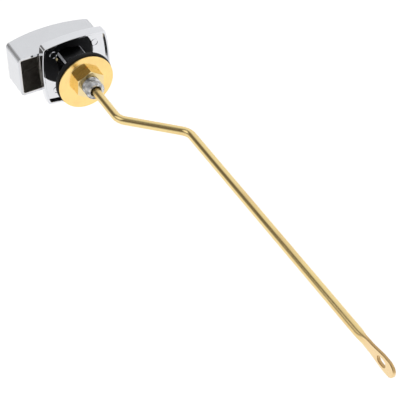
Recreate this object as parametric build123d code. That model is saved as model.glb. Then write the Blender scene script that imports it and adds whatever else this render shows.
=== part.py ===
from build123d import *
import os
from math import cos, radians, sin

# Side-mount trip lever for a toilet tank. All sizes are in millimetres.
# The origin is on the shaft axis, in the plane where the escutcheon meets the tank wall.
# +Y points along the shaft into the tank, +Z is up, and +X points to the handle's free end.

# Escutcheon: square plate with a shallow tray behind, a square boss and a threaded shank.
PLATE_SIDE = 36.8
PLATE_BOW = 1.6
PLATE_DEPTH = 6.0
PLATE_CORNER = 1.6
PLATE_EDGE = 1.0
RIM_WIDTH = 1.2
RIM_EDGE = 0.35
TRAY_DEPTH = 1.8
TRAY_CORNER = 1.0
MARK_SPACING_X = 24.4
MARK_SPACING_Z = 23.4
MARK_DIAMETER = 4.4
MARK_RIB = 0.45
MARK_HEIGHT = 0.3
BOSS_WALL = 1.8
BOSS_CORNER = 1.8
BOSS_REACH = 6.4
BOSS_EDGE = 0.5
SHANK_WALL = 1.3
SHANK_REACH = 24.2
SHANK_CHAMFER = 0.6
BORE_CHAMFER = 0.3
THREAD_PITCH = 1.4
THREAD_DEPTH = 0.75
THREAD_CREST = 0.25
THREAD_START_GAP = 0.6
THREAD_ROOT_FLAT = 0.12
THREAD_SINK = 0.1
BLANK_ROOM = 0.15

# Lever rod: straight, a 45 degree joggle, a long run that leans slightly towards the handle's
# free end, and a flattened end with a slot, which widens from a neck to its round tip.
ROD_DIAMETER = 4.76
ROD_SOCKET_DEPTH = 17.0
FIRST_BEND_Y = 51.3
JOGGLE = 27.2
RUN_LEAN = 0.29
BEND_RADIUS = 9.0
ROD_TIP_Y = 267.0
FLAT_HEIGHT = 9.0
FLAT_NECK = 6.2
FLAT_THICKNESS = 1.75
FLAT_LENGTH = 18.0
FLAT_WIDENING = 9.5
FLAT_TAPER = 11.0
FLAT_EDGE = 0.5
SLOT_LENGTH = 6.6
SLOT_HEIGHT = 4.7
SLOT_FROM_TIP = 9.1

# Handle: hollow casting, open behind, bowed in front, with a hub for the rod.
HANDLE_LENGTH = 50.0
HANDLE_HEIGHT = 24.6
HANDLE_FREE_END = 31.1
HANDLE_APEX = 28.4
HANDLE_BOW_RADIUS = 70.0
HANDLE_WALL = 1.5
HANDLE_CORNER = 2.4
HANDLE_EDGE = 0.9
HANDLE_INNER_CORNER = 1.0
HANDLE_INNER_EDGE = 0.6
HUB_WALL = 3.62
HUB_SOCKET_END = 1.2

# The stop: a lug on the hub runs in an arc groove in front of the escutcheon.
TURN_ANGLE = 40.0
LUG_WIDTH = 2.4
LUG_RISE = 3.6
LUG_LENGTH = 7.0
LUG_ENGAGEMENT = 1.3
HUB_ENGAGEMENT = 0.6

# Grub screw that locks the rod in the hub, and the hole that a key reaches it through.
SCREW_DIAMETER = 4.0
SCREW_SETBACK = 8.0
SCREW_RECESS = 0.3
KEY_FLATS = 2.0
KEY_DEPTH = 1.5
KEY_HOLE = 4.6

# Bush, thrust washer and push-on ring on the rod.
THRUST_THICKNESS = 0.8
THRUST_WIDTH = 2.0
BUSH_WALL = 0.72
BUSH_END_Y = 16.0
RING_THICKNESS = 0.4

# Clamp stack on the shank: rubber washer, brass washer and hexagon nut.
WALL_GRIP = 9.2
RUBBER_DIAMETER = 33.0
RUBBER_THICKNESS = 2.0
RUBBER_EDGE = 0.4
WASHER_DIAMETER = 32.0
WASHER_THICKNESS = 1.45
WASHER_EDGE = 0.25
WASHER_SLACK = 1.5
RUBBER_SLACK = 0.95
RUBBER_SHIFT_X = 0.6
RUBBER_SHIFT_Z = -0.6
WASHER_SHIFT_X = 0.3
WASHER_SHIFT_Z = -1.3
NUT_WALL = 2.4
NUT_HEIGHT = 5.1
NUT_TURN = 34.7
NUT_CORNER_CUT = 0.8

# Clearances between pieces that move on each other.
RUNNING_FIT = 0.05
FACE_GAP = 0.3
POCKET_GAP = 0.6
HANDLE_GAP = 0.7

# Places worked out from the sizes above.
TRAY_FLOOR = -TRAY_DEPTH
PLATE_FRONT = -PLATE_DEPTH
HANDLE_REAR = PLATE_FRONT - HANDLE_GAP
HANDLE_MIDDLE = HANDLE_FREE_END - HANDLE_LENGTH / 2
BOW_CENTRE_Y = HANDLE_BOW_RADIUS - HANDLE_APEX
POCKET_DEPTH = THRUST_THICKNESS + FACE_GAP + HUB_ENGAGEMENT
POCKET_FLOOR = PLATE_FRONT + POCKET_DEPTH
HUB_REAR = POCKET_FLOOR - THRUST_THICKNESS - FACE_GAP
ROD_RADIUS = ROD_DIAMETER / 2
HUB_DIAMETER = ROD_DIAMETER + 2 * HUB_WALL
HUB_RADIUS = HUB_DIAMETER / 2
LUG_REACH = HUB_RADIUS + LUG_RISE
THRUST_DIAMETER = ROD_DIAMETER + 2 * THRUST_WIDTH
RUNNING_BORE = ROD_DIAMETER + 2 * RUNNING_FIT
SHANK_BORE = RUNNING_BORE + 2 * BUSH_WALL
SHANK_ROOT = SHANK_BORE + 2 * SHANK_WALL
SHANK_DIAMETER = SHANK_ROOT + 2 * THREAD_DEPTH
BOSS_SIDE = SHANK_DIAMETER + 2 * BOSS_WALL
RING_DIAMETER = SHANK_BORE - 2 * FACE_GAP
WASHER_HOLE = SHANK_DIAMETER + 2 * WASHER_SLACK
RUBBER_HOLE = SHANK_DIAMETER + 2 * RUBBER_SLACK
NUT_FLATS = SHANK_DIAMETER + 2 * NUT_WALL
ROD_FRONT = HUB_REAR - ROD_SOCKET_DEPTH
SCREW_Y = HUB_REAR - SCREW_SETBACK
LUG_REAR = PLATE_FRONT + LUG_ENGAGEMENT
RING_FRONT = BUSH_END_Y + FACE_GAP
WASHER_FRONT = WALL_GRIP + RUBBER_THICKNESS
NUT_FRONT = WASHER_FRONT + WASHER_THICKNESS
RUN_START_Y = FIRST_BEND_Y + JOGGLE
FLAT_START = ROD_TIP_Y - FLAT_LENGTH
TAPER_START = FLAT_START - FLAT_TAPER


def disc(y_front, y_rear, diameter, x=0.0, z=0.0):
    """Solid cylinder along the shaft direction."""
    middle = (y_front + y_rear) / 2
    return Pos(x, middle, z) * Rot(90, 0, 0) * Cylinder(diameter / 2, y_rear - y_front)


def washer(y_front, y_rear, outer, inner, x=0.0, z=0.0):
    """Flat ring along the shaft direction."""
    past = 1.0
    return disc(y_front, y_rear, outer, x, z) - disc(y_front - past, y_rear + past, inner, x, z)


def bar(outline, y_front, y_rear):
    """Outline drawn in X and Z, extruded from y_front to y_rear."""
    return extrude(Plane.XZ.offset(-y_front) * outline, amount=-(y_rear - y_front))


def round_edges_at(piece, y, size):
    """Round every edge of a piece that lies in the plane at y."""
    edges = piece.edges().filter_by_position(Axis.Y, y - 0.001, y + 0.001)
    return fillet(edges, size)


def bowed_square(side, corner):
    """Square outline whose sides bulge by the plate's bow at their middle."""
    half = side / 2
    radius = (half**2 + PLATE_BOW**2) / (2 * PLATE_BOW)
    shift = radius - half - PLATE_BOW
    upright = Pos(shift, 0) * Circle(radius) & Pos(-shift, 0) * Circle(radius)
    level = Pos(0, shift) * Circle(radius) & Pos(0, -shift) * Circle(radius)
    outline = upright & level
    return fillet(outline.vertices(), corner)


def bowed_block(length, height, corner, bow_radius, y_rear):
    """Block whose front is part of an upright cylinder about the handle's bow centre."""
    outline = RectangleRounded(length, height, corner)
    block = bar(Pos(HANDLE_MIDDLE, 0) * outline, -HANDLE_APEX - 5, y_rear)
    bow = Pos(HANDLE_MIDDLE, BOW_CENTRE_Y, 0) * Cylinder(bow_radius, 2 * height)
    return block & bow


def round_front(block, size):
    """Round the edges of a bowed block's front face."""
    front = block.faces().sort_by(Axis.Y)[0]
    return fillet(front.edges(), size)


def lug_block(extra, y_front, y_rear):
    """Radial block above the shaft: the stop lug, or the room for it."""
    width = LUG_WIDTH + 2 * extra
    low = HUB_RADIUS - 1.0
    high = LUG_REACH + extra
    centre = Pos(0, (y_front + y_rear) / 2, (low + high) / 2)
    return centre * Box(width, y_rear - y_front, high - low)


def make_handle():
    outer = bowed_block(HANDLE_LENGTH, HANDLE_HEIGHT, HANDLE_CORNER, HANDLE_BOW_RADIUS, HANDLE_REAR)
    outer = round_front(outer, HANDLE_EDGE)
    hollow = bowed_block(
        HANDLE_LENGTH - 2 * HANDLE_WALL,
        HANDLE_HEIGHT - 2 * HANDLE_WALL,
        HANDLE_INNER_CORNER,
        HANDLE_BOW_RADIUS - HANDLE_WALL,
        HANDLE_REAR + 1,
    )
    hollow = round_front(hollow, HANDLE_INNER_EDGE)
    hub = disc(-HANDLE_APEX + HANDLE_WALL / 2, HUB_REAR, HUB_DIAMETER)
    lug = lug_block(0, LUG_REAR - LUG_LENGTH, LUG_REAR)
    socket = disc(ROD_FRONT - HUB_SOCKET_END, HUB_REAR + 1, ROD_DIAMETER)
    screw_hole = Pos(0, SCREW_Y, -HUB_RADIUS / 2) * Cylinder(SCREW_DIAMETER / 2, HUB_RADIUS + 2)
    key_hole = Pos(0, SCREW_Y, -HANDLE_HEIGHT / 2) * Cylinder(KEY_HOLE / 2, 4 * HANDLE_WALL)
    return (outer - hollow) + hub + lug - socket - screw_hole - key_hole


def make_set_screw():
    top = -ROD_RADIUS
    bottom = -HUB_RADIUS + SCREW_RECESS
    body = Pos(0, SCREW_Y, (top + bottom) / 2) * Cylinder(SCREW_DIAMETER / 2, top - bottom)
    key = extrude(RegularPolygon(KEY_FLATS / 2, 6, major_radius=False), amount=KEY_DEPTH)
    return body - Pos(0, SCREW_Y, bottom) * key


def lean(piece):
    """Turn a piece that was drawn straight behind the joggle to where the long run points."""
    return Pos(-JOGGLE, RUN_START_Y, 0) * Rot(0, 0, -RUN_LEAN) * Pos(JOGGLE, -RUN_START_Y, 0) * piece


def make_rod():
    """Bent round rod, from inside the handle's hub to where it starts to flatten."""
    run = TAPER_START - RUN_START_Y
    route = FilletPolyline(
        (0, ROD_FRONT, 0),
        (0, FIRST_BEND_Y, 0),
        (-JOGGLE, RUN_START_Y, 0),
        (-JOGGLE + run * sin(radians(RUN_LEAN)), RUN_START_Y + run * cos(radians(RUN_LEAN)), 0),
        radius=BEND_RADIUS,
    )
    section = Plane.XZ.offset(-ROD_FRONT) * Circle(ROD_RADIUS)
    return sweep(section, path=route)


def make_flat_end():
    """Flattened end: the round section spreads into an upright strip, wider at its round tip."""
    round_section = Plane.XZ.offset(-TAPER_START) * Pos(-JOGGLE, 0) * Circle(ROD_RADIUS)
    strip = RectangleRounded(FLAT_THICKNESS, FLAT_NECK, FLAT_THICKNESS / 2 - 0.05)
    flat_section = Plane.XZ.offset(-FLAT_START) * Pos(-JOGGLE, 0) * strip
    taper = loft([round_section, flat_section])
    wide = FLAT_START + FLAT_WIDENING
    tip = ROD_TIP_Y - FLAT_HEIGHT / 2
    half, neck = FLAT_HEIGHT / 2, FLAT_NECK / 2
    lower = [(FLAT_START, -neck), (wide, -half), (tip, -half)]
    upper = [(y, -z) for y, z in reversed(lower)]
    outline = make_face(Polyline(*lower, *upper, close=True)) + Pos(tip, 0) * Circle(half)
    side = Plane.YZ.offset(-JOGGLE - FLAT_THICKNESS / 2)
    flat = extrude(side * outline, amount=FLAT_THICKNESS)
    long_edges = flat.edges().filter_by(lambda edge: edge.bounding_box().size.X < 0.001)
    long_edges = [edge for edge in long_edges if edge.center().Y > FLAT_START + 0.01]
    flat = fillet(long_edges, FLAT_EDGE)
    slot = Pos(ROD_TIP_Y - SLOT_FROM_TIP, 0) * SlotOverall(SLOT_LENGTH, SLOT_HEIGHT)
    return taper + flat - extrude(side * slot, amount=3 * FLAT_THICKNESS, both=True)


def make_lever_arm():
    return make_rod() + lean(make_flat_end())


def make_thread():
    """Left-hand helical ridge, cut off square at both ends of the threaded length."""
    root = SHANK_ROOT / 2
    begin = BOSS_REACH + THREAD_START_GAP
    length = SHANK_REACH - begin
    path = Helix(THREAD_PITCH, length + THREAD_PITCH, root, direction=(0, 1, 0), lefthand=True)
    path = Pos(0, begin - THREAD_PITCH / 2, 0) * path
    half_root = (THREAD_PITCH - THREAD_ROOT_FLAT) / 2
    half_crest = THREAD_CREST / 2
    start = path @ 0
    outward = Vector(start.X, 0, start.Z).normalized()
    ridge = Polyline(
        start - outward * THREAD_SINK + Vector(0, -half_root, 0),
        start + outward * THREAD_DEPTH + Vector(0, -half_crest, 0),
        start + outward * THREAD_DEPTH + Vector(0, half_crest, 0),
        start - outward * THREAD_SINK + Vector(0, half_root, 0),
        close=True,
    )
    thread = sweep(make_face(ridge), path=path, is_frenet=True)
    return thread & disc(begin, SHANK_REACH, SHANK_DIAMETER + 2)


def make_shank():
    core = disc(TRAY_FLOOR, SHANK_REACH, SHANK_ROOT)
    blank = disc(TRAY_FLOOR, SHANK_REACH, SHANK_DIAMETER + 2 * BLANK_ROOM)
    blank = chamfer(blank.edges(), SHANK_CHAMFER + BLANK_ROOM)
    return core + (make_thread() & blank)


def make_marks():
    """Four small raised rings on the tray floor, left by the mould's ejector pins."""
    outer = MARK_DIAMETER
    inner = MARK_DIAMETER - 2 * MARK_RIB
    marks = []
    for x in (-MARK_SPACING_X / 2, MARK_SPACING_X / 2):
        for z in (-MARK_SPACING_Z / 2, MARK_SPACING_Z / 2):
            marks.append(washer(TRAY_FLOOR - 0.2, TRAY_FLOOR + MARK_HEIGHT, outer, inner, x, z))
    return marks


def stop_groove():
    """Room that the lug sweeps in front of the plate, from rest to full turn."""
    front = PLATE_FRONT - 1
    rear = LUG_REAR + FACE_GAP
    reach = LUG_REACH + FACE_GAP
    corners = [(0, 0)]
    for step in range(5):
        angle = radians(90 - TURN_ANGLE * step / 4)
        corners.append((2 * reach * cos(angle), 2 * reach * sin(angle)))
    sector = bar(make_face(Polyline(*corners, close=True)), front, rear)
    room = lug_block(FACE_GAP, front, rear)
    return (sector & disc(front, rear, 2 * reach)) + room + Rot(0, TURN_ANGLE, 0) * room


def make_escutcheon():
    plate = bar(bowed_square(PLATE_SIDE, PLATE_CORNER), PLATE_FRONT, 0)
    plate = round_edges_at(plate, PLATE_FRONT, PLATE_EDGE)
    plate -= bar(bowed_square(PLATE_SIDE - 2 * RIM_WIDTH, TRAY_CORNER), TRAY_FLOOR, 1)
    plate = round_edges_at(plate, 0, RIM_EDGE)
    boss = bar(RectangleRounded(BOSS_SIDE, BOSS_SIDE, BOSS_CORNER), TRAY_FLOOR, BOSS_REACH)
    boss = round_edges_at(boss, BOSS_REACH, BOSS_EDGE)
    body = plate + boss + make_shank() + make_marks()
    body -= disc(PLATE_FRONT - 1, POCKET_FLOOR, HUB_DIAMETER + 2 * POCKET_GAP)
    body -= stop_groove()
    body -= disc(PLATE_FRONT - 1, SHANK_REACH + 1, SHANK_BORE)
    mouth = Pos(0, SHANK_REACH - BORE_CHAMFER / 2, 0) * Rot(90, 0, 0)
    return body - mouth * Cone(SHANK_BORE / 2 + BORE_CHAMFER, SHANK_BORE / 2, BORE_CHAMFER)


def make_shank_bush():
    return washer(POCKET_FLOOR, BUSH_END_Y, SHANK_BORE, RUNNING_BORE)


def make_thrust_washer():
    front = POCKET_FLOOR - THRUST_THICKNESS
    return washer(front, POCKET_FLOOR, THRUST_DIAMETER, RUNNING_BORE)


def make_push_on_ring():
    return washer(RING_FRONT, RING_FRONT + RING_THICKNESS, RING_DIAMETER, ROD_DIAMETER)


def clamp_washer(y_front, y_rear, outer, hole, edge):
    """Flat ring with rounded outer rims, about the shaft's line."""
    ring = disc(y_front, y_rear, outer)
    ring = fillet(ring.edges().filter_by(GeomType.CIRCLE), edge)
    return ring - disc(y_front - 1, y_rear + 1, hole)


def make_rubber_washer():
    """Rubber washer, which hangs loose on the shank, off its axis."""
    ring = clamp_washer(WALL_GRIP, WASHER_FRONT, RUBBER_DIAMETER, RUBBER_HOLE, RUBBER_EDGE)
    return Pos(RUBBER_SHIFT_X, 0, RUBBER_SHIFT_Z) * ring


def make_brass_washer():
    """Brass washer, which hangs loose on the shank too."""
    ring = clamp_washer(WASHER_FRONT, NUT_FRONT, WASHER_DIAMETER, WASHER_HOLE, WASHER_EDGE)
    return Pos(WASHER_SHIFT_X, 0, WASHER_SHIFT_Z) * ring


def make_clamp_nut():
    nut_rear = NUT_FRONT + NUT_HEIGHT
    hexagon = RegularPolygon(NUT_FLATS / 2, 6, major_radius=False)
    blank = bar(Rot(0, 0, NUT_TURN) * hexagon, NUT_FRONT, nut_rear)
    corner_diameter = NUT_FLATS / cos(radians(30))
    envelope = disc(NUT_FRONT, nut_rear, corner_diameter)
    rims = envelope.edges().filter_by(GeomType.CIRCLE)
    envelope = chamfer(rims, NUT_CORNER_CUT / 2, NUT_CORNER_CUT)
    bore = disc(NUT_FRONT - 1, nut_rear + 1, SHANK_DIAMETER + 2 * RUNNING_FIT)
    return (blank & envelope) - bore


PIECES = {
    "handle": make_handle,
    "handle_set_screw": make_set_screw,
    "lever_arm": make_lever_arm,
    "push_on_ring": make_push_on_ring,
    "escutcheon": make_escutcheon,
    "thrust_washer": make_thrust_washer,
    "shank_bush": make_shank_bush,
    "rubber_washer": make_rubber_washer,
    "brass_washer": make_brass_washer,
    "clamp_nut": make_clamp_nut,
}

os.makedirs("parts", exist_ok=True)
for name, make in PIECES.items():
    export_step(make(), f"parts/{name}.step")
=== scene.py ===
import math

import bmesh
import bpy
from mathutils import Matrix, Vector


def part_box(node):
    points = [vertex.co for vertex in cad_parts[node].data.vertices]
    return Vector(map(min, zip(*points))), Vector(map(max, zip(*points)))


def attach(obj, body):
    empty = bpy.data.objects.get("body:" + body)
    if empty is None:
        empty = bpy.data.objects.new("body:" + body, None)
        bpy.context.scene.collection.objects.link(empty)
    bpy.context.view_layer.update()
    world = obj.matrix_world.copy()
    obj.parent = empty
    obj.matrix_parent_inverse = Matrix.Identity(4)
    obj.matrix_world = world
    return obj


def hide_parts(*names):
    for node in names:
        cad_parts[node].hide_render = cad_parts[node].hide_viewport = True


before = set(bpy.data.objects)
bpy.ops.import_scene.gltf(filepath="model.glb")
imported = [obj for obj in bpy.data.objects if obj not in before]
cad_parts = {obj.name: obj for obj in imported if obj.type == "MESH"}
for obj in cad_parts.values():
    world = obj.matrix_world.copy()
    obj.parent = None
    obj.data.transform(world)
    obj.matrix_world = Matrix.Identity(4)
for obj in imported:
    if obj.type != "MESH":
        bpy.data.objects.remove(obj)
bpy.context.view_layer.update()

bl_info = {
    "name": "Tank Trip Lever",
    "version": (1, 0, 0),
    "blender": (4, 5, 0),
    "location": "3D View > Sidebar > Trip Lever",
    "description": "Builds the visual model of a side-mount tank trip lever around its CAD frame",
    "category": "Object",
}

MM = 0.001
DEPTH = Vector((0, 1, 0))  # the shaft's direction, into the tank
WELD = 0.002 * MM  # points closer than this are one
SHARP = math.radians(38)  # faces that meet at more than this angle keep a hard edge


# ---------------------------------------------------------------- sizes and colours


def size(name, description, default_mm):
    """A length that a user may change, in metres."""
    return bpy.props.FloatProperty(
        name=name, description=description, default=default_mm * MM, unit="LENGTH", precision=5
    )


def colour(name, description, default):
    """A linear colour that a user may change."""
    return bpy.props.FloatVectorProperty(
        name=name, description=description, default=default, subtype="COLOR", size=3, min=0, max=1
    )


class LeverArmSizes(bpy.types.PropertyGroup):
    """Sizes of the bent rod and its flattened, slotted end."""

    rod_radius: size("Rod radius", "Half the rod's diameter", 2.38)
    front: size("Front end", "Where the rod starts, inside the handle's hub", -22.4)
    first_bend: size("First bend", "Where the joggle leaves the shaft's line", 51.3)
    joggle: size("Joggle", "How far the 45 degree joggle moves the rod aside", 27.2)
    bend_radius: size("Bend radius", "Radius of the rod's centre line in both bends", 9.0)
    lean: bpy.props.FloatProperty(
        name="Lean", description="Angle of the long run", default=math.radians(0.29), unit="ROTATION"
    )
    tip: size("Tip", "Where the flat end stops", 267.0)
    taper: size("Taper", "Length over which the round rod becomes flat", 11.0)
    flat: size("Flat end", "Length of the flat end", 18.0)
    widening: size("Widening", "Length over which the flat end widens", 9.5)
    neck: size("Neck half height", "Half the height where the flat end starts", 3.1)
    half_height: size("Half height", "Half the height near the round tip", 4.5)
    half_thickness: size("Half thickness", "Half the thickness of the flat end", 0.875)
    edge: size("Edge radius", "Rounding of the flat end's long edges", 0.5)
    slot_middle: size("Slot place", "Distance of the slot's middle from the tip", 9.1)
    slot_half_length: size("Slot half length", "Half the slot's length", 3.3)
    slot_half_height: size("Slot half height", "Half the slot's height", 2.35)
    slot_edge: size("Slot edge", "Rounding of the slot's rims", 0.2)


class WasherSizes(bpy.types.PropertyGroup):
    """Sizes of the two clamp washers that their boxes in the frame do not give."""

    brass_hole: size("Brass hole radius", "Half the brass washer's hole", 6.7)
    rubber_hole: size("Rubber hole radius", "Half the rubber washer's hole", 6.15)
    brass_edge: size("Brass edge", "Rounding of the stamped brass rims", 0.25)
    rubber_edge: size("Rubber edge", "Rounding of the moulded rubber rims", 0.4)


class FinishColours(bpy.types.PropertyGroup):
    """Base colours of the metals, the rubber and the nylon, and the painted shade of the rod's flat end."""

    chrome: colour("Chrome", "Polished chrome plate", (0.665, 0.675, 0.70))
    casting: colour("Casting", "Thinly plated inside of the handle", (0.62, 0.60, 0.57))
    rod_brass: colour("Rod brass", "Drawn brass of the lever arm", (0.87, 0.68, 0.32))
    tarnish: colour("Tarnish", "Browner film on the rod", (0.68, 0.46, 0.20))
    pressed_brass: colour("Pressed brass", "Flattened end of the rod", (0.87, 0.65, 0.36))
    # Painted shade: a dark brass laid on the flat end's upward narrow faces and slot walls.
    painted_edge_shade: colour("Sheared brass", "Narrow faces of the flattened end", (0.42, 0.26, 0.10))
    bright_brass: colour("Bright brass", "Brass of the washer", (1.0, 0.72, 0.29))
    nut_brass: colour("Nut brass", "Paler turned brass of the nut", (0.86, 0.70, 0.38))
    rubber: colour("Rubber", "Black rubber", (0.009, 0.009, 0.010))
    nylon: colour("Nylon", "Natural nylon", (0.78, 0.76, 0.70))
    zinc: colour("Zinc", "Zinc plated steel", (0.55, 0.57, 0.60))
    spring: colour("Spring steel", "Dark spring steel", (0.18, 0.18, 0.20))


class StageSettings(bpy.types.PropertyGroup):
    """Floor, light and camera."""

    floor_drop: size("Floor drop", "How far the floor lies below the shaft", 200.0)
    floor_half: size("Floor half size", "Half the side of the floor", 4000.0)
    target: bpy.props.FloatVectorProperty(
        name="Target", description="What the camera looks at", default=(-0.01391, 0.11497, -0.01306),
        subtype="TRANSLATION", size=3,
    )
    distance: size("Distance", "Distance from the camera to its target", 720.0)
    heading: bpy.props.FloatProperty(
        name="Heading", description="Camera's turn from the shaft's line", default=math.radians(28.21),
        unit="ROTATION",
    )
    elevation: bpy.props.FloatProperty(
        name="Elevation", description="Camera's height as an angle", default=math.radians(42.155),
        unit="ROTATION",
    )
    roll: bpy.props.FloatProperty(
        name="Roll", description="Camera's tilt", default=math.radians(-0.714), unit="ROTATION"
    )
    lens: bpy.props.FloatProperty(
        name="Lens", description="Focal length", default=128.63, subtype="DISTANCE_CAMERA"
    )
    shift: bpy.props.FloatProperty(
        name="Shift", description="Half a step of framing to each side", default=0.00125
    )
    room_light: bpy.props.FloatProperty(
        name="Room light", description="Strength of the white surroundings", default=1.0
    )
    dark_strip: colour("Dark strip", "Colour of the dark strip of the room above", (0.17, 0.16, 0.15))


class TripLeverSettings(bpy.types.PropertyGroup):
    """Everything that a user may change."""

    arm: bpy.props.PointerProperty(name="Lever arm", type=LeverArmSizes)
    washers: bpy.props.PointerProperty(name="Washers", type=WasherSizes)
    colours: bpy.props.PointerProperty(name="Colours", type=FinishColours)
    stage: bpy.props.PointerProperty(name="Stage", type=StageSettings)


# ---------------------------------------------------------------- shader building


class Reading:
    """A number that varies over a surface. Arithmetic on it adds Math nodes."""

    def __init__(self, finish, socket):
        self.finish = finish
        self.socket = socket

    def maths(self, operation, *inputs):
        return self.finish.add("ShaderNodeMath", {"operation": operation}, dict(enumerate(inputs)))

    def __add__(self, other):
        return self.maths("ADD", self, other)

    def __radd__(self, other):
        return self.maths("ADD", other, self)

    def __sub__(self, other):
        return self.maths("SUBTRACT", self, other)

    def __rsub__(self, other):
        return self.maths("SUBTRACT", other, self)

    def __mul__(self, other):
        return self.maths("MULTIPLY", self, other)

    def __rmul__(self, other):
        return self.maths("MULTIPLY", other, self)

    def __truediv__(self, other):
        return self.maths("DIVIDE", self, other)

    def __pow__(self, other):
        return self.maths("POWER", self, other)

    def __abs__(self):
        return self.maths("ABSOLUTE", self)

    def between(self, low, high, to_low=0.0, to_high=1.0):
        """Smooth step from to_low at low to to_high at high."""
        settings = {"interpolation_type": "SMOOTHSTEP", "clamp": True}
        inputs = {"Value": self, "From Min": low, "From Max": high, "To Min": to_low, "To Max": to_high}
        return self.finish.add("ShaderNodeMapRange", settings, inputs)


class NodeBoard:
    """A node tree that is filled by one method."""

    def __init__(self, tree):
        self.tree = tree

    def add(self, kind, settings=None, inputs=None, output=0):
        """Add a node: its settings first, then the values or links of its sockets."""
        node = self.tree.nodes.new(kind)
        for key, value in (settings or {}).items():
            setattr(node, key, value)
        for key, value in (inputs or {}).items():
            if isinstance(value, Reading):
                self.tree.links.new(value.socket, node.inputs[key])
            else:
                node.inputs[key].default_value = value
        return Reading(self, node.outputs[output])

    def mix(self, factor, first, second):
        """Colour between first and second."""
        inputs = {0: factor}
        for index, value in ((6, first), (7, second)):
            inputs[index] = value if isinstance(value, Reading) else (*value, 1.0)
        return self.add("ShaderNodeMix", {"data_type": "RGBA"}, inputs, output=2)


class Finish(NodeBoard):
    """One procedural material: a Principled shader and what feeds it."""

    def __init__(self, name, **constants):
        self.material = bpy.data.materials.new(name)
        self.material.use_nodes = True
        super().__init__(self.material.node_tree)
        self.shader = self.tree.nodes["Principled BSDF"]
        for socket, value in constants.items():
            self.shader.inputs[socket.replace("_", " ")].default_value = value
        self.place = self.add("ShaderNodeTexCoord", output="Object")

    def attribute(self, name):
        """A vector stored on the piece's own points."""
        return self.add("ShaderNodeAttribute", {"attribute_name": name}, output="Vector")

    def stretched(self, vector, scale, centre=(0, 0, 0)):
        """The pattern's coordinates, moved to centre and stretched."""
        inputs = {"Vector": vector, "Location": tuple(-c * s for c, s in zip(centre, scale)), "Scale": scale}
        return self.add("ShaderNodeMapping", {}, inputs)

    def noise(self, vector, scale, detail=3.0, roughness=0.55):
        inputs = {"Vector": vector, "Scale": scale, "Detail": detail, "Roughness": roughness}
        return self.add("ShaderNodeTexNoise", {}, inputs)

    def specks(self, vector, scale):
        """Distance to scattered points, for pits and dust."""
        return self.add("ShaderNodeTexVoronoi", {}, {"Vector": vector, "Scale": scale})

    def axes(self, vector):
        """The three numbers of a vector."""
        split = self.add("ShaderNodeSeparateXYZ", {}, {0: vector}).socket.node
        return [Reading(self, socket) for socket in split.outputs]

    def bump(self, height, distance, strength=1.0):
        """Relief of this height in metres, as a normal."""
        inputs = {"Height": height, "Distance": distance, "Strength": strength}
        return self.add("ShaderNodeBump", {}, inputs)

    def feed(self, **links):
        """Link readings to the shader's sockets."""
        for socket, value in links.items():
            self.tree.links.new(value.socket, self.shader.inputs[socket.replace("_", " ")])
        return self.material


def shade(colour_value, factor):
    """A colour made lighter or darker."""
    return tuple(min(1.0, channel * factor) for channel in colour_value)


# ---------------------------------------------------------------- finishes


def polished_plate(name, chrome):
    """Chrome plate on a polished casting: faint waves, wipe marks and a few pits."""
    fin = Finish(name, Metallic=1.0)
    wave = fin.noise(fin.place, 55, detail=1.5)
    cloud = fin.noise(fin.place, 140, detail=4)
    wipe = fin.noise(fin.stretched(fin.place, (0.25, 1.0, 1.6)), 1500, detail=5)
    pits = fin.specks(fin.place, 420).between(0.06, 0.02)
    roughness = 0.035 + cloud.between(0.35, 0.75, 0.0, 0.05) + wipe.between(0.5, 0.85, 0.0, 0.06)
    tone = fin.mix(cloud, shade(chrome, 0.96), shade(chrome, 1.04))
    relief = wave * 1.0 + wipe * 0.02 - pits * 0.06
    return fin, tone, roughness + pits * 0.2, relief


HANDLE_WALL = 1.2 * MM
HANDLE_BOW = 70.0 * MM  # radius of the bowed front
HOLLOW_FADE = 0.1 * MM  # half the width of the change between polished and dull
# How far inside the line of the hollow's walls a corner's wear starts and where it is complete.
WORN_FROM = 1.6 * MM
WORN_TO = 0.4 * MM


def handle_finish(colours):
    """Polished outside with worn corners, dull thin plating inside the hollow."""
    fin, tone, roughness, relief = polished_plate("chrome_casting", colours.chrome)
    low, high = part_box("handle")
    middle = (low + high) / 2
    x, y, z = fin.axes(fin.stretched(fin.place, (1, 1, 1), middle))
    half_x = (high.x - low.x) / 2 - HANDLE_WALL
    half_z = (high.z - low.z) / 2 - HANDLE_WALL
    soft = HOLLOW_FADE
    within = abs(x).between(half_x + soft, half_x - soft) * abs(z).between(half_z + soft, half_z - soft)
    bow = (y - (HANDLE_BOW - (high.y - low.y) / 2)) ** 2.0 + x**2.0
    inner_bow = HANDLE_BOW - HANDLE_WALL
    hollow = within * bow.between((inner_bow + soft) ** 2, (inner_bow - soft) ** 2)
    edge_x = abs(x).between(half_x - WORN_FROM, half_x - WORN_TO)
    edge_z = abs(z).between(half_z - WORN_FROM, half_z - WORN_TO)
    worn = edge_x * edge_z * (1 - hollow)
    sand = fin.noise(fin.place, 1800, detail=4)
    flow = fin.noise(fin.stretched(fin.place, (1, 0.3, 1)), 260, detail=5)
    dull = fin.mix(flow, shade(colours.casting, 0.7), shade(colours.casting, 1.35))
    return fin.feed(
        Base_Color=fin.mix(hollow, tone, dull),
        Roughness=roughness + hollow * (0.22 + sand * 0.12) + worn * 0.42,
        Normal=fin.bump(relief + hollow * (sand * 0.25 + flow * 0.9), 0.02 * MM),
    )


# Each pair is where a change in the escutcheon's finish or painted shade starts and where it is complete.
SHANK_START = (11.9 * MM, 12.2 * MM)
BOSS_SIDE = (8.0 * MM, 7.6 * MM)
BOSS_CORNER_X = (6.0 * MM, 6.3 * MM)
BOSS_CORNER_Z = (5.2 * MM, 5.5 * MM)
BOSS_FOOT = (-1.80 * MM, -1.78 * MM)


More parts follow.
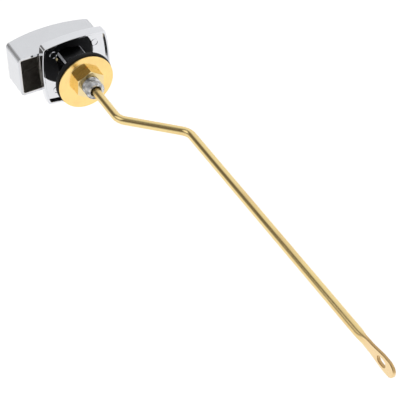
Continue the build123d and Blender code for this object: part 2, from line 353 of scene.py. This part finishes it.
def escutcheon_finish(colours):
    """Polished plate, painted lighter than the handle; the boss's sides carry painted shade between their
    rougher, less metallic corners; the shank is duller and partly painted shade.
    """
    # Painted light: the plate's chrome is a lighter copy of the handle's chrome, standing for the brighter
    # reflection on the tray.
    fin, tone, roughness, relief = polished_plate("chrome_plate", shade(colours.chrome, 1.1))
    x, y, z = fin.axes(fin.place)
    shank = y.between(*SHANK_START)
    grit = fin.noise(fin.place, 1500, detail=4)
    blotch = fin.noise(fin.place, 420, detail=4).between(0.35, 0.65)
    # The shank's blotchy grey is partly a duller thread finish and partly painted shade.
    grey = fin.mix(blotch, shade(colours.chrome, 0.30), shade(colours.chrome, 1.15))
    inside = abs(x).between(*BOSS_SIDE) * abs(z).between(*BOSS_SIDE)
    corner = abs(x).between(*BOSS_CORNER_X) * abs(z).between(*BOSS_CORNER_Z)
    length = y.between(*BOSS_FOOT) * y.between(*reversed(SHANK_START))
    ridge = inside * corner * length
    # Painted shade: the boss's sides between the corners get a near-black copy of the chrome, standing for
    # the dark reflection there.
    side = inside * (1 - corner) * length
    dark = fin.mix(grit, shade(colours.chrome, 0.015), shade(colours.chrome, 0.06))
    return fin.feed(
        Base_Color=fin.mix(side, fin.mix(shank, tone, grey), dark),
        Roughness=roughness + shank * (0.10 + grit * 0.14) + (side + ridge) * 0.16,
        Metallic=1 - shank * 0.5 - ridge * 0.9,
        Normal=fin.bump(relief + shank * grit * 0.5, 0.012 * MM),
    )


def drawn_brass(colours):
    """Rod brass: fine lines along the rod, a thin brown film, small dings and painted shade on the flat
    end's upper edges and slot walls.
    """
    fin = Finish("rod_brass", Metallic=1.0)
    along = fin.attribute("rod_place")
    lines = fin.noise(fin.stretched(along, (1, 0.02, 1)), 2600, detail=4)
    film = fin.noise(fin.stretched(along, (1, 0.25, 1)), 130, detail=5, roughness=0.6)
    dings = fin.specks(fin.stretched(along, (1, 0.5, 1)), 260).between(0.10, 0.03)
    stain = film.between(0.45, 0.75)
    bright = fin.mix(lines, shade(colours.rod_brass, 0.93), colours.rod_brass)
    pressed, painted_shade_mask, _ = fin.axes(fin.attribute("pressing_and_shade"))
    clean = fin.mix(pressed * 0.9, fin.mix(stain * 0.55, bright, colours.tarnish), colours.pressed_brass)
    return fin.feed(
        # The dark brass on the masked faces is painted shade.
        Base_Color=fin.mix(painted_shade_mask * 0.8, clean, colours.painted_edge_shade),
        Roughness=0.13 + lines * 0.08 + stain * 0.10 + pressed * 0.08,
        Normal=fin.bump(lines * 0.35 + film * 0.8 - dings * 0.7, 0.006 * MM),
    )


def turned_brass(name, base, centre, roughness=0.11):
    """Brass with fine rings about the shaft's line, soft clouding and handling marks."""
    fin = Finish(name, Metallic=1.0)
    x, _, z = fin.axes(fin.stretched(fin.place, (1, 1, 1), centre))
    radius = (x**2.0 + z**2.0) ** 0.5
    phase = radius * 14000 + fin.noise(fin.place, 900, detail=3) * 3.0
    rings = phase.maths("SINE", phase)
    cloud = fin.noise(fin.place, 110, detail=4)
    marks = fin.noise(fin.stretched(fin.place, (1.0, 1.0, 0.12)), 900, detail=5).between(0.58, 0.8)
    tone = fin.mix(cloud.between(0.3, 0.8), base, shade(base, 0.90))
    return fin.feed(
        Base_Color=fin.mix(marks * 0.35, tone, shade(base, 0.75)),
        Roughness=roughness + cloud * 0.07 + marks * 0.10,
        Normal=fin.bump(rings * 0.10 + cloud * 0.9 + marks * 0.1, 0.008 * MM),
    )


def moulded_rubber(colours):
    """Matt black rubber with a fine moulded grain and a little dust."""
    fin = Finish("black_rubber", Specular_IOR_Level=0.18)
    grain = fin.noise(fin.place, 2400, detail=5)
    dust = fin.noise(fin.place, 180, detail=5).between(0.52, 0.8)
    tone = fin.mix(dust * 0.15, tuple(colours.rubber), (0.06, 0.06, 0.06))
    return fin.feed(
        Base_Color=tone,
        Roughness=0.42 + grain * 0.18 + dust * 0.15,
        Normal=fin.bump(grain + dust * 0.3, 0.02 * MM),
    )


def moulded_nylon(colours):
    """Natural nylon, faintly cloudy."""
    fin = Finish("white_nylon")
    cloud = fin.noise(fin.place, 300, detail=3)
    grain = fin.noise(fin.place, 2500, detail=3)
    return fin.feed(
        Base_Color=fin.mix(cloud, shade(colours.nylon, 0.92), shade(colours.nylon, 1.05)),
        Roughness=0.32 + grain * 0.12,
        Normal=fin.bump(grain + cloud, 0.008 * MM),
    )


def plated_steel(name, base, roughness):
    """Plated or blued steel with a brushed grain and spangle."""
    fin = Finish(name, Metallic=1.0)
    spangle = fin.specks(fin.place, 900)
    brushed = fin.noise(fin.stretched(fin.place, (1, 0.1, 1)), 2600, detail=4)
    return fin.feed(
        Base_Color=fin.mix(spangle, shade(base, 0.85), shade(base, 1.12)),
        Roughness=roughness + brushed * 0.15,
        Normal=fin.bump(brushed + spangle * 0.4, 0.006 * MM),
    )


# ---------------------------------------------------------------- pieces


def dress(node, material):
    """Give a CAD node this material."""
    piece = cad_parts[node]
    piece.data.materials.clear()
    piece.data.materials.append(material)
    return piece


def dress_new(piece, material, body, stands_for):
    """Material, body, replaced node and material slot of a new piece."""
    piece.data.materials.append(material)
    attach(piece, body)
    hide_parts(stands_for)
    return piece


def piece_from(mesh_in_work, name):
    """Turn a bmesh into a smooth-shaded object at the origin."""
    bmesh.ops.remove_doubles(mesh_in_work, verts=mesh_in_work.verts, dist=WELD)
    bmesh.ops.recalc_face_normals(mesh_in_work, faces=mesh_in_work.faces)
    for face in mesh_in_work.faces:
        face.smooth = True
    for edge in mesh_in_work.edges:
        edge.smooth = len(edge.link_faces) != 2 or edge.calc_face_angle() < SHARP
    mesh = bpy.data.meshes.new(name)
    mesh_in_work.to_mesh(mesh)
    mesh_in_work.free()
    piece = bpy.data.objects.new(name, mesh)
    bpy.context.scene.collection.objects.link(piece)
    return piece


# ---------------------------------------------------------------- lever arm

QUARTER = 12  # points in a quarter of the rod's section
FLAT_POINTS = 8  # of these, on the flat end's broad side up to where its edge rounds
SLOT_REACH = 4  # points above and below the middle that the slot takes up
SLOT_RINGS = (-1, -0.8, -0.5, -0.17, 0.17, 0.5, 0.8, 1)  # in half lengths of the slot
TAPER_RINGS = 14
TIP_RINGS = 12
BEND_ANGLE = math.radians(45)
HALF_BEND = BEND_ANGLE / 2


class ArmMaker:
    """Extrudes the rod's section along its route and presses its end flat."""

    def __init__(self, sizes):
        self.s = sizes
        self.mesh = bmesh.new()
        self.turns = self.mesh.verts.layers.float.new("turn")
        self.places = self.mesh.verts.layers.float_vector.new("rod_place")
        self.pressing_and_shade = self.mesh.verts.layers.float_vector.new("pressing_and_shade")
        made = bmesh.ops.create_circle(
            self.mesh, cap_ends=True, radius=sizes.rod_radius, segments=4 * QUARTER,
            matrix=Matrix.Translation((0, sizes.front, 0)) @ Matrix.Rotation(math.radians(90), 4, "X"),
        )
        self.ring = made["verts"]
        for v in self.ring:  # every later ring keeps the turns of the first one's points
            v[self.turns] = math.atan2(v.co.z, v.co.x)

    def ring_edges(self):
        found = set(self.ring)
        return [e for e in self.mesh.edges if e.verts[0] in found and e.verts[1] in found]

    def step(self, move):
        """One more ring, moved along from the last one."""
        grown = bmesh.ops.extrude_edge_only(self.mesh, edges=self.ring_edges())
        self.ring = [v for v in grown["geom"] if isinstance(v, bmesh.types.BMVert)]
        bmesh.ops.translate(self.mesh, verts=self.ring, vec=move)

    def run(self, move, steps):
        for _ in range(steps):
            self.step(move / steps)

    def bend(self, centre, angle, steps=14):
        """Carry the ring round an upright line through centre."""
        geometry = self.ring + self.ring_edges()
        turned = bmesh.ops.spin(
            self.mesh, geom=geometry, cent=centre, axis=(0, 0, 1), dvec=(0, 0, 0), angle=angle,
            steps=steps, use_merge=False, use_duplicate=False,
        )
        self.ring = [v for v in turned["geom_last"] if isinstance(v, bmesh.types.BMVert)]


def section_point(turn, width, height, edge):
    """Point of a flat strip's outline that a point of the round rod at this turn moves to."""
    quarter_turn = math.pi / 2
    step = round(abs(math.asin(max(-1.0, min(1.0, math.sin(turn))))) / quarter_turn * QUARTER)
    side_x = 1 if math.cos(turn) >= 0 else -1
    side_z = 1 if math.sin(turn) >= 0 else -1
    edge = min(edge, width * 0.98, height * 0.98)
    if step <= FLAT_POINTS:
        x, z = width, (height - edge) * step / FLAT_POINTS
    elif step < QUARTER:
        corner = (step - FLAT_POINTS) / (QUARTER - FLAT_POINTS - 1) * quarter_turn
        x, z = width - edge + edge * math.cos(corner), height - edge + edge * math.sin(corner)
    else:
        x, z = 0.0, height
    return side_x * x, side_z * z


def smooth(t):
    """Smooth step from 0 to 1."""
    t = max(0.0, min(1.0, t))
    return t * t * (3 - 2 * t)


def flat_section(s, y):
    """Half thickness, half height and share of flatness of the pressed end at y, before it leans."""
    start = s.tip - s.flat
    share = smooth((y - (start - s.taper)) / s.taper)
    widening = max(0.0, min(1.0, (y - start) / s.widening))
    height = s.neck + (s.half_height - s.neck) * (0.5 * widening + 0.5 * smooth(widening))
    width = s.half_thickness
    round_from = s.tip - s.half_height
    if y > round_from:
        height = math.sqrt(max(0.0, s.half_height**2 - (y - round_from) ** 2))
    if y > s.tip - s.edge:
        width -= s.edge - math.sqrt(max(0.0, s.edge**2 - (y - (s.tip - s.edge)) ** 2))
    return width, height, share


def press_ring(maker, y):
    """One more ring of the pressed end, at y."""
    s = maker.s
    axis_x = -s.joggle
    last_y = maker.ring[0].co.y
    width, height, share = flat_section(s, y)
    maker.step(Vector((0, y - last_y, 0)))
    for v in maker.ring:
        turn = v[maker.turns]
        strip = section_point(turn, width, height, s.edge)
        v.co.x = axis_x + (1 - share) * s.rod_radius * math.cos(turn) + share * strip[0]
        v.co.z = (1 - share) * s.rod_radius * math.sin(turn) + share * strip[1]


def snap_to_slot(co, s, middle_y):
    """Move a point near the slot onto the slot's outline."""
    straight = s.slot_half_length - s.slot_half_height
    core = Vector((0, max(-straight, min(straight, co.y - middle_y)), 0))
    out = Vector((0, co.y - middle_y, co.z)) - core
    out = core + out.normalized() * s.slot_half_height
    co.y, co.z = middle_y + out.y, out.z


def rod_place(point, s):
    """Place on the rod: across it, along it and up, without a break at the bends."""
    bend_one = Vector((0, s.first_bend))
    bend_two = Vector((-s.joggle, s.first_bend + s.joggle))
    flat = Vector((point.x, point.y))
    bisector = Vector((-math.sin(HALF_BEND), math.cos(HALF_BEND)))
    if (flat - bend_one).dot(bisector) < 0:
        return (point.x, point.y, point.z)
    length = (bend_two - bend_one).length
    if (flat - bend_two).dot(bisector) < 0:
        diagonal = Vector((-1, 1)).normalized()
        offset = flat - bend_one
        return (offset.dot(Vector((1, 1)).normalized()), s.first_bend + offset.dot(diagonal), point.z)
    return (point.x + s.joggle, s.first_bend + length + point.y - bend_two.y, point.z)


def end_stations(s, slot_steps):
    """Where along the rod the rings of the pressed end lie."""
    start = s.tip - s.flat
    round_from = s.tip - s.half_height
    stations = [start - s.taper + s.taper * i / TAPER_RINGS for i in range(1, TAPER_RINGS + 1)]
    stations += [start + (slot_steps[0] - start) * t for t in (0.25, 0.5, 0.75)]
    stations += slot_steps + [round_from]
    for i in range(1, TIP_RINGS + 1):
        angle = math.radians(90 * i / TIP_RINGS)
        stations.append(round_from + (s.half_height - s.edge) * math.sin(angle))
    for degrees in (25, 50, 70, 85, 90):
        stations.append(s.tip - s.edge + s.edge * math.sin(math.radians(degrees)))
    return sorted(stations)


def mark_surface(maker, slot_place, taper_start):
    """Store on each point its place on the rod, how pressed the metal is there and how much painted shade it
    takes.
    """
    s = maker.s
    for v in maker.mesh.verts:
        v[maker.places] = rod_place(v.co, s)
        pressed = smooth((v.co.y - taper_start) / s.taper)
        in_slot = (v.co - slot_place).length < s.slot_half_length + s.slot_edge
        # Painted shade mask: the slot walls and the narrow faces that face upward.
        upward = 1 if in_slot else smooth(v.normal.z * 2)
        narrow = smooth((0.85 - abs(v.normal.x)) / 0.35)
        v[maker.pressing_and_shade] = (pressed, pressed * upward * narrow, 0)


def build_arm(s):
    """The rod from the handle's hub over both bends to its pressed, slotted tip."""
    maker = ArmMaker(s)
    mesh = maker.mesh
    cut_back = s.bend_radius * math.tan(HALF_BEND)
    diagonal = Vector((-1, 1, 0)).normalized()
    joggle_length = s.joggle * math.sqrt(2)
    maker.run(Vector((0, s.first_bend - cut_back - s.front, 0)), 6)
    maker.bend((-s.bend_radius, s.first_bend - cut_back, 0), BEND_ANGLE)
    maker.run(diagonal * (joggle_length - 2 * cut_back), 3)
    second = Vector((-s.joggle, s.first_bend + s.joggle + cut_back, 0))
    maker.bend(second + Vector((s.bend_radius, 0, 0)), -BEND_ANGLE)
    taper_start = s.tip - s.flat - s.taper
    maker.run(Vector((0, taper_start - second.y, 0)), 10)

    middle = s.tip - s.slot_middle
    slot_steps = [middle + s.slot_half_length * t for t in SLOT_RINGS]
    slot_rings = []
    for y in end_stations(s, slot_steps):
        press_ring(maker, y)
        if y in slot_steps:
            slot_rings.append(list(maker.ring))
    bmesh.ops.remove_doubles(mesh, verts=maker.ring, dist=0.01 * MM)

    cut_slot(mesh, s, middle, slot_rings, maker.turns)
    pivot = Vector((-s.joggle, s.first_bend + s.joggle, 0))
    mesh.verts.ensure_lookup_table()
    behind = [v for v in mesh.verts if v.co.y > second.y + 0.01 * MM]
    bmesh.ops.rotate(mesh, cent=pivot, matrix=Matrix.Rotation(-s.lean, 3, "Z"), verts=behind)
    bmesh.ops.recalc_face_normals(mesh, faces=mesh.faces)
    mesh.normal_update()
    mark_surface(maker, Vector((-s.joggle, middle, 0)), taper_start)
    mesh.verts.layers.float.remove(maker.turns)
    return piece_from(mesh, "lever_arm_brass")


def cut_slot(mesh, s, middle, slot_rings, turns):
    """Open the slot through both broad sides, wall it and round its rims."""
    reach = math.pi / 2 / QUARTER * (SLOT_REACH + 0.3)
    loops = []
    for side in (1, -1):
        points = [v for ring in slot_rings for v in ring if v.is_valid]
        points = [v for v in points if abs(math.sin(v[turns])) < math.sin(reach)]
        window = {v for v in points if side * math.cos(v[turns]) > 0}
        faces = [f for f in mesh.faces if all(v in window for v in f.verts)]
        found = set(faces)
        rim = [e for f in faces for e in f.edges if sum(g in found for g in e.link_faces) == 1]
        bmesh.ops.delete(mesh, geom=faces, context="FACES")
        rim = [e for e in set(rim) if e.is_valid]
        for v in {v for e in rim for v in e.verts}:
            snap_to_slot(v.co, s, middle)
        loops.append(rim)
    bmesh.ops.bridge_loops(mesh, edges=loops[0] + loops[1])
    rims = [e for loop in loops for e in loop if e.is_valid]
    bmesh.ops.bevel(
        mesh, geom=rims, offset=s.slot_edge, offset_type="OFFSET", segments=3, profile=0.5,
        affect="EDGES", material=-1, clamp_overlap=True,
    )


# ---------------------------------------------------------------- washers


def build_ring(name, node, hole_radius, edge, segments=3):
    """A flat ring in a CAD node's box: a spun section with rounded rims."""
    low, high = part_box(node)
    middle = (low + high) / 2
    outer = (high.x - low.x) / 2
    mesh = bmesh.new()
    corners = [(hole_radius, low.y), (outer, low.y), (outer, high.y), (hole_radius, high.y)]
    points = [mesh.verts.new((middle.x + r, y, middle.z)) for r, y in corners]
    edges = [mesh.edges.new((points[i], points[(i + 1) % 4])) for i in range(4)]
    bmesh.ops.spin(
        mesh, geom=points + edges, cent=middle, axis=DEPTH, dvec=(0, 0, 0), angle=2 * math.pi,
        steps=128, use_merge=True, use_duplicate=False,
    )
    bmesh.ops.remove_doubles(mesh, verts=mesh.verts, dist=WELD)
    rims = [e for e in mesh.edges if len(e.link_faces) == 2 and e.calc_face_angle() > math.radians(60)]
    bmesh.ops.bevel(
        mesh, geom=rims, offset=edge, offset_type="OFFSET", segments=segments, profile=0.5,
        affect="EDGES", material=-1,
    )
    return piece_from(mesh, name)


# ---------------------------------------------------------------- stage


# Angles about the shaft's line in degrees, 0 straight up and positive towards +X. Each pair is where a
# change in the room's light starts and where it is complete.
STRIP_START = (-14, 28)
STRIP_END = (108, 58)
SIDE_START = (-70, 0)
SIDE_LIGHT = 0.97
SOFTBOX_WIDTH = 0.8
SOFTBOX_AIM = (0, 0.1, 0)


def build_floor(settings):
    """A wide white floor below the lever."""
    mesh = bmesh.new()
    bmesh.ops.create_grid(mesh, x_segments=8, y_segments=8, size=settings.floor_half)
    bmesh.ops.translate(mesh, verts=mesh.verts, vec=(0, 0, -settings.floor_drop))
    floor = piece_from(mesh, "floor")
    fin = Finish("floor_white", Roughness=0.9, Specular_IOR_Level=0.1, Emission_Strength=0.42)
    soft = fin.noise(fin.place, 2.0, detail=2)
    tone = fin.mix(soft, (0.93, 0.93, 0.93), (0.95, 0.95, 0.95))
    floor.data.materials.append(fin.feed(Base_Color=tone, Emission_Color=tone))
    return floor


def build_room(settings):
    """White surroundings with one soft dark strip overhead, parallel to the shaft."""
    world = bpy.data.worlds.new("studio")
    bpy.context.scene.world = world
    world.use_nodes = True
    board = NodeBoard(world.node_tree)
    direction = board.add("ShaderNodeTexCoord", output="Generated")
    split = board.add("ShaderNodeSeparateXYZ", {}, {0: direction}).socket.node
    x, _, z = (Reading(board, socket) for socket in split.outputs)
    tilt = x.maths("ARCTAN2", x, z)
    strip = tilt.between(*map(math.radians, STRIP_START)) * tilt.between(*map(math.radians, STRIP_END))
    room = board.mix(strip, (1.0, 1.0, 1.0), tuple(settings.dark_strip))
    side = tilt.between(*map(math.radians, SIDE_START), 1.0, SIDE_LIGHT)
    glow = board.add("ShaderNodeVectorMath", {"operation": "SCALE"}, {0: room, "Scale": side})
    background = world.node_tree.nodes["Background"]
    world.node_tree.links.new(glow.socket, background.inputs["Color"])
    background.inputs["Strength"].default_value = settings.room_light
    return world


def build_camera(settings):
    """The camera, aimed at its target from its distance, heading and elevation, then rolled."""
    lens = bpy.data.cameras.new("camera")
    lens.lens = settings.lens
    lens.sensor_width = 36.0
    lens.shift_x = -settings.shift
    lens.shift_y = settings.shift
    lens.clip_start, lens.clip_end = 0.01, 50.0
    camera = bpy.data.objects.new("camera", lens)
    bpy.context.scene.collection.objects.link(camera)
    level = math.cos(settings.elevation)
    back = Vector((
        math.sin(settings.heading) * level, math.cos(settings.heading) * level, math.sin(settings.elevation)
    ))
    right = Vector((0, 0, 1)).cross(back).normalized()
    upright = Matrix((right, back.cross(right), back)).transposed()
    turned = upright @ Matrix.Rotation(settings.roll, 3, "Z")
    camera.matrix_world = Matrix.Translation(
        Vector(settings.target) + back * settings.distance
    ) @ turned.to_4x4()
    bpy.context.scene.camera = camera
    return camera


def softbox(name, place, energy):
    """A square light at place, facing the lever."""
    light = bpy.data.lights.new(name, "AREA")
    light.shape = "SQUARE"
    light.size = SOFTBOX_WIDTH
    light.energy = energy
    box = bpy.data.objects.new(name, light)
    bpy.context.scene.collection.objects.link(box)
    box.location = place
    box.rotation_euler = (Vector(SOFTBOX_AIM) - Vector(place)).to_track_quat("-Z", "Y").to_euler()
    return box


# ---------------------------------------------------------------- operators


class BuildStage(bpy.types.Operator):
    """Floor, studio surroundings, soft lights and camera"""

    bl_idname = "trip_lever.stage"
    bl_label = "Stage"

    def execute(self, context):
        settings = context.scene.trip_lever.stage
        context.scene.view_settings.view_transform = "Standard"
        build_floor(settings)
        build_room(settings)
        build_camera(settings)
        softbox("left_softbox", (0.9, -0.2, 0.9), 2.0)
        softbox("right_softbox", (-1.0, 0.5, 0.7), 1.0)
        return {"FINISHED"}


class FinishCastings(bpy.types.Operator):
    """Chrome finish of the handle and the escutcheon"""

    bl_idname = "trip_lever.castings"
    bl_label = "Castings"

    def execute(self, context):
        colours = context.scene.trip_lever.colours
        dress("handle", handle_finish(colours))
        dress("escutcheon", escutcheon_finish(colours))
        return {"FINISHED"}


class BuildLeverArm(bpy.types.Operator):
    """Bent brass rod with its flattened, slotted end"""

    bl_idname = "trip_lever.arm"
    bl_label = "Lever arm"

    def execute(self, context):
        settings = context.scene.trip_lever
        arm = build_arm(settings.arm)
        dress_new(arm, drawn_brass(settings.colours), "lever", "lever_arm")
        return {"FINISHED"}


class BuildWashers(bpy.types.Operator):
    """Rubber and brass washers that clamp the tank wall"""

    bl_idname = "trip_lever.washers"
    bl_label = "Clamp washers"

    def execute(self, context):
        settings = context.scene.trip_lever
        sizes, colours = settings.washers, settings.colours
        rubber = build_ring("rubber_washer_soft", "rubber_washer", sizes.rubber_hole, sizes.rubber_edge, 4)
        dress_new(rubber, moulded_rubber(colours), "clamp_washers", "rubber_washer")
        low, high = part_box("brass_washer")
        brass = build_ring("brass_washer_bright", "brass_washer", sizes.brass_hole, sizes.brass_edge)
        finish = turned_brass("bright_brass", tuple(colours.bright_brass), (low + high) / 2)
        dress_new(brass, finish, "clamp_washers", "brass_washer")
        return {"FINISHED"}


class FinishHardware(bpy.types.Operator):
    """Finishes of the nut, set screw, ring, bush and thrust washer"""

    bl_idname = "trip_lever.hardware"
    bl_label = "Small hardware"

    def execute(self, context):
        colours = context.scene.trip_lever.colours
        dress("clamp_nut", turned_brass("nut_brass", tuple(colours.nut_brass), (0, 0, 0), 0.16))
        dress("handle_set_screw", plated_steel("zinc_steel", tuple(colours.zinc), 0.25))
        dress("push_on_ring", plated_steel("spring_steel", tuple(colours.spring), 0.30))
        nylon = moulded_nylon(colours)
        dress("shank_bush", nylon)
        dress("thrust_washer", nylon)
        return {"FINISHED"}


class TripLeverPanel(bpy.types.Panel):
    """Lists the operators and the sizes"""

    bl_idname = "VIEW3D_PT_trip_lever"
    bl_label = "Trip Lever"
    bl_space_type = "VIEW_3D"
    bl_region_type = "UI"
    bl_category = "Trip Lever"

    def draw(self, context):
        for step in STEPS:
            self.layout.operator(step.bl_idname)
        settings = context.scene.trip_lever
        for group in (settings.arm, settings.washers, settings.colours, settings.stage):
            box = self.layout.box()
            for name in group.__annotations__:
                box.prop(group, name)


STEPS = (BuildStage, FinishCastings, BuildLeverArm, BuildWashers, FinishHardware)
CLASSES = (
    LeverArmSizes, WasherSizes, FinishColours, StageSettings, TripLeverSettings, *STEPS, TripLeverPanel
)


def register():
    for each in CLASSES:
        bpy.utils.register_class(each)
    bpy.types.Scene.trip_lever = bpy.props.PointerProperty(type=TripLeverSettings)


def unregister():
    del bpy.types.Scene.trip_lever
    for each in reversed(CLASSES):
        bpy.utils.unregister_class(each)


def main():
    register()
    for step in STEPS:
        group, name = step.bl_idname.split(".")
        getattr(getattr(bpy.ops, group), name)()


if __name__ == "__main__":
    main()
